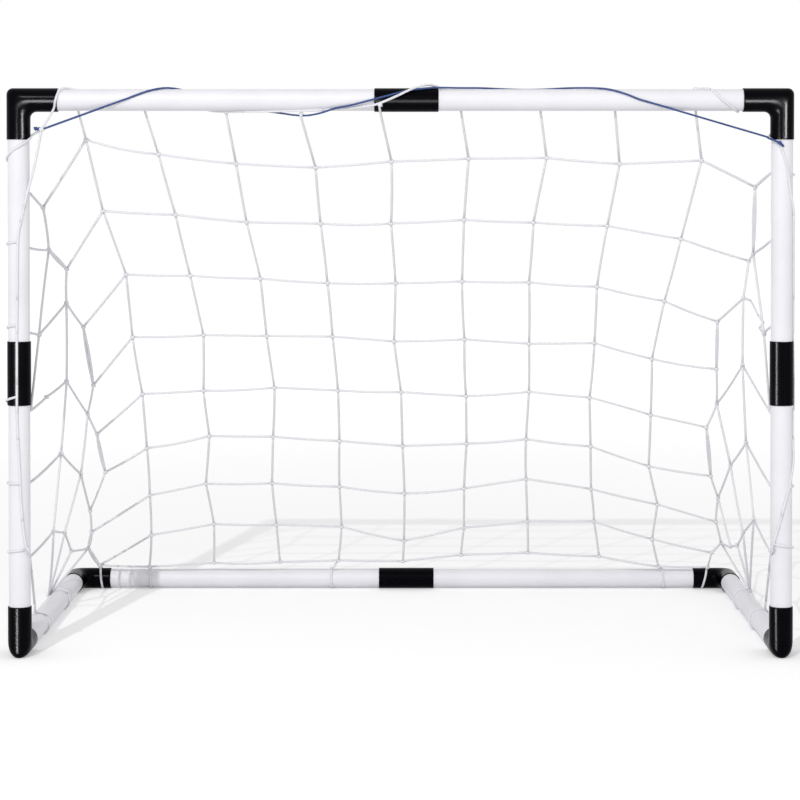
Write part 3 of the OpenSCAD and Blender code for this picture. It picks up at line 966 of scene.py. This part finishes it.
# blue lacing round the crossbar, tied to the corners of the net
lacing = {
    "radius": 0.00105,
    "gap": 0.0002,
    "hang": 0.0157,
    "tailEnd": (-0.3618, frontY - 0.005, 0.525),
    "tailBends": 6,
    "zigzag": 0.0013,
    # its end round the right post: angle, height (mm) and what it passes over
    "tie": [
        (186, 516.8, "rope"), (165, 515.6, "rope"), (142, 514.2, "rope"), (122, 512.4, "rope"),
        (107, 510.6, "rope"), (98, 508.8, "tube"), (91, 507, "tube"),
    ],
    # place along the bar (mm), angle from the front over the top, and what it passes over
    "turns": [
        (-271, 2, "tube"), (-258, 27, "tube"), (-245, 55, "tube"), (-230, 88, "tube"),
        (-212, 130, "tube"), (-195, 160, "tube"), (-178, 190, "tube"), (-160, 215, "tube"),
        (-142, 240, "tube"), (-126, 264, "tube"), (-98, 278, "hang"), (-80, 298, "rope"),
        (-64, 320, "coupler"), (-48, 336, "coupler"), (-32, 355, "coupler"), (-12, 378, "coupler"),
        (8, 405, "coupler"), (32, 427, "coupler"), (58, 442, "tube"), (80, 457, "tube"),
        (100, 472, "tube"), (125, 480, "tube"), (148, 473, "tube"), (164, 460, "tube"),
        (180, 449, "tube"), (194, 437, "tube"), (204, 424, "tube"), (214, 405, "tube"),
        (225, 383, "tube"), (236, 361, "tube"),
    ],
}
lacingR = {
    "tube": tubeR + lacing["gap"] + lacing["radius"],
    "coupler": connectorR + lacing["gap"] + lacing["radius"],
    "rope": sleeveR + twine["radius"] + lacing["gap"] + lacing["radius"],
    "hang": lacing["hang"],
}
lacingKnot = {
    "lean": 0,
    "turns": (20, 110),
    "axis": "Y",
    "segments": (10, 6),
    "swell": 1.5,
    "squeeze": (1.5, 1.05, 1.05, 1),
}
lacingRun = []
for n in range(lacing["tailBends"]):
    zigzag = Vector((0, 0, lacing["zigzag"] if n % 2 else -lacing["zigzag"]))
    spot = Vector(lacing["tailEnd"]).lerp(cornerKnot, n / lacing["tailBends"])
    lacingRun.append(spot - zigzag)
lacingRun.append(cornerKnot)
barStart = roundBar(lacing["turns"][0][0] / 1000, lacing["turns"][0][1], lacingR["tube"])
lacingRun += [cornerKnot.lerp(barStart, t) for t in (0.05, 0.35, 0.65, 0.9)]
lacingRun += [roundBar(x / 1000, a, lacingR[over]) for x, a, over in lacing["turns"]]
barEnd = lacingRun[-1]
tieRun = [roundPost(1, a, z / 1000, lacingR[over]) for a, z, over in lacing["tie"]]
lacingRun += [barEnd.lerp(tieRun[0], t) for t in (0.12, 0.4, 0.7)] + tieRun
shape = cordMesh("lacing", stretches(smoothRun(lacingRun, 3)), lacing["radius"])
for place in (cornerKnot, lacingRun[-3]):
    addKnot(shape, place, lacing["radius"], lacingKnot)
piece = keepPiece("lacing", shape, lacingBlue)
piece.data.shade_smooth()
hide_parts("lacing_cord")
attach(piece, "crossbar")
print("lacing wound")

# floor, light and camera
studio = {
    "aim": (0, -0.05, 0.28),
    "ambient": (0.96, 0.42),
    "glow": (0.26, 0.5),
    "glowReach": (0.6, 3.0),
    "floorSize": 30,
    "floorWhite": (0.9, 0.9, 0.9, 1),
    "floorRough": 0.9,
}
lamps = {
    "key": {
        "azimuth": -16.5,
        "elevation": 30.2,
        "distance": 4.2,
        "size": (0.04, 0.04),
        "power": 65,
    },
    "rightStrip": {
        "azimuth": 33,
        "elevation": 6,
        "distance": 3.2,
        "size": (0.35, 2.2),
        "power": 5,
    },
}
# lamps that show only as gloss, each on the black connectors that it names
topElbows = ("elbow_top_left", "elbow_top_right")
glints = {
    "elbowSide": {
        "on": topElbows,
        "azimuth": 35.6,
        "elevation": 8.6,
        "distance": 2.07,
        "size": (0.4, 0.34),
        "power": 140,
    },
    "elbowLeft": {
        "on": topElbows,
        "azimuth": -21.3,
        "elevation": -1,
        "distance": 1.5,
        "size": (0.2, 0.42),
        "power": 46,
    },
    "elbowRight": {
        "on": topElbows,
        "azimuth": 20.9,
        "elevation": -1,
        "distance": 1.5,
        "size": (0.2, 0.42),
        "power": 46,
    },
    "barFront": {
        "on": ("coupler_crossbar",),
        "azimuth": 0,
        "elevation": -1,
        "distance": 1.4,
        "size": (1.5, 0.46),
        "power": 60,
    },
    "postSide": {
        "on": ("coupler_left_post", "coupler_right_post"),
        "azimuth": -36.4,
        "elevation": -1.7,
        "distance": 1,
        "size": (0.2, 0.5),
        "power": 53,
    },
    "footSide": {
        "on": ("elbow_front_left_foot", "elbow_front_right_foot"),
        "underFloor": True,
        "azimuth": -36.4,
        "elevation": -22.9,
        "distance": 1.08,
        "size": (0.2, 0.26),
        "power": 22,
    },
}


# 1 for rays that show a thing to the camera, straight or by a reflection, and 0 for its light
def seenRay(nodes, links):
    path = nodes.new("ShaderNodeLightPath")
    seen = path.outputs["Is Camera Ray"]
    for ray in ("Is Glossy Ray", "Is Transmission Ray"):
        either = nodes.new("ShaderNodeMath")
        either.operation = "MAXIMUM"
        links.new(seen, either.inputs[0])
        links.new(path.outputs[ray], either.inputs[1])
        seen = either.outputs["Value"]
    return seen


floorShape = bmesh.new()
bmesh.ops.create_grid(floorShape, x_segments=1, y_segments=1, size=studio["floorSize"])
floorMesh = bpy.data.meshes.new("floor")
floorShape.to_mesh(floorMesh)
floorShape.free()
floor = bpy.data.objects.new("floor", floorMesh)
scene.collection.objects.link(floor)
floor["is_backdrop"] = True
floorWhite, nodes, links, shader = newFinish("floorWhite")
shader.inputs["Base Color"].default_value = studio["floorWhite"]
shader.inputs["Roughness"].default_value = studio["floorRough"]
shader.inputs["Specular IOR Level"].default_value = 0.0
shader.inputs["Emission Color"].default_value = (1, 1, 1, 1)
# away from the lamps the floor shows the white of the background, and near them its shadows
reach = nodes.new("ShaderNodeVectorMath")
reach.operation = "LENGTH"
links.new(nodes.new("ShaderNodeTexCoord").outputs["Object"], reach.inputs[0])
glow = rangeOn(nodes, links, reach.outputs["Value"], *studio["glow"])
glow.node.inputs["From Min"].default_value = studio["glowReach"][0]
glow.node.inputs["From Max"].default_value = studio["glowReach"][1]
onlySeen = nodes.new("ShaderNodeMath")
onlySeen.operation = "MULTIPLY"
links.new(glow, onlySeen.inputs[0])
links.new(seenRay(nodes, links), onlySeen.inputs[1])
links.new(onlySeen.outputs["Value"], shader.inputs["Emission Strength"])
floorMesh.materials.append(floorWhite)

world = bpy.data.worlds.new("studio")
scene.world = world
world.use_nodes = True
nodes, links = world.node_tree.nodes, world.node_tree.links
background = nodes["Background"]
background.inputs["Color"].default_value = (1, 1, 1, 1)
# the room is darker overhead
heading = nodes.new("ShaderNodeSeparateXYZ")
links.new(nodes.new("ShaderNodeTexCoord").outputs["Generated"], heading.inputs["Vector"])
ambient = rangeOn(nodes, links, heading.outputs["Z"], *studio["ambient"])
level = rangeOn(nodes, links, seenRay(nodes, links), 0.0, 1.0)
links.new(ambient, level.node.inputs["To Min"])
links.new(level, background.inputs["Strength"])

for name, lamp in {**lamps, **glints}.items():
    a, e = math.radians(lamp["azimuth"]), math.radians(lamp["elevation"])
    away = Vector((math.sin(a) * math.cos(e), -math.cos(a) * math.cos(e), math.sin(e)))
    data = bpy.data.lights.new(name, "AREA")
    data.shape = "RECTANGLE"
    data.size, data.size_y = lamp["size"]
    data.energy = lamp["power"]
    light = bpy.data.objects.new(name, data)
    light.location = Vector(studio["aim"]) + away * lamp["distance"]
    light.rotation_mode = "QUATERNION"
    light.rotation_quaternion = (-away).to_track_quat("-Z", "Y")
    scene.collection.objects.link(light)
    if "on" in lamp:
        light.visible_camera = False
        light.visible_diffuse = False
        # a reflected ray would meet the floor before a lamp that is below it
        data.cycles.use_multiple_importance_sampling = "underFloor" not in lamp
        shown = bpy.data.collections.new(name + "Shown")
        for piece in lamp["on"]:
            shown.objects.link(bpy.data.objects[piece])
        light.light_linking.receiver_collection = shown
        light.light_linking.blocker_collection = shown

camera = bpy.data.objects.new("camera", bpy.data.cameras.new("camera"))
camera.data.sensor_width = view["sensor"]
camera.data.lens = view["lens"]
camera.data.shift_x, camera.data.shift_y = view["shiftX"], view["shiftY"]
camera.location = view["place"]
camera.rotation_euler = (math.radians(90 - view["tilt"]), 0, 0)
scene.collection.objects.link(camera)
scene.camera = camera
scene.view_settings.view_transform = "Standard"
print("studio set")

low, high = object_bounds()
